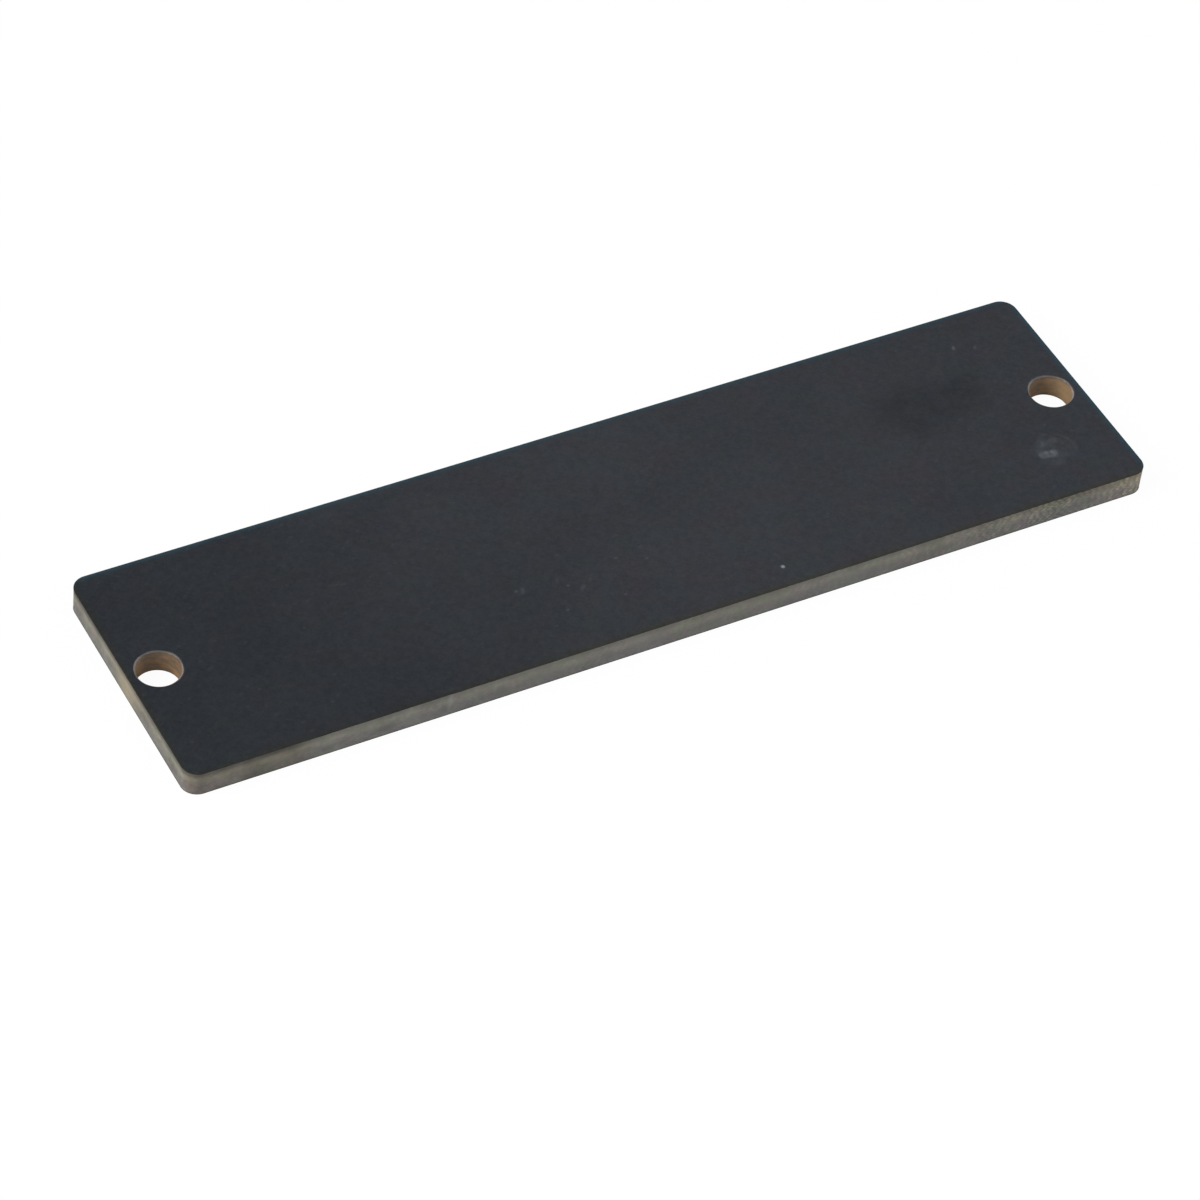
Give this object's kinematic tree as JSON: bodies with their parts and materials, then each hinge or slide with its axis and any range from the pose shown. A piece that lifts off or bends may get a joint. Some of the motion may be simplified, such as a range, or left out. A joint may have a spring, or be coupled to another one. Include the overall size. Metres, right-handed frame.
{
  "type": "kick plate",
  "caption": "Small flat rectangular guard plate with rounded corners, black coated faces over bare-edged glass-epoxy laminate, and a screw hole near each short end.",
  "frame": {"origin": "centre of the back, the flat side that rests on the door or rail", "axes": "+X along the plate from one fixing hole to the other, +Y across it, +Z out of the black face that shows"},
  "size_m": [0.095, 0.025, 0.0025],
  "materials": {
    "glass_epoxy": "tan glass-cloth laminate, matt and faintly fibrous where cut, amber in the drilled holes",
    "face_black": "satin black with faint cloth print-through and light handling marks",
    "back_black": "flat black, slightly duller than the face"
  },
  "bodies": {
    "root": {"laminate_core": "glass_epoxy", "face_coat": "face_black", "back_coat": "back_black"}
  },
  "joints": []
}
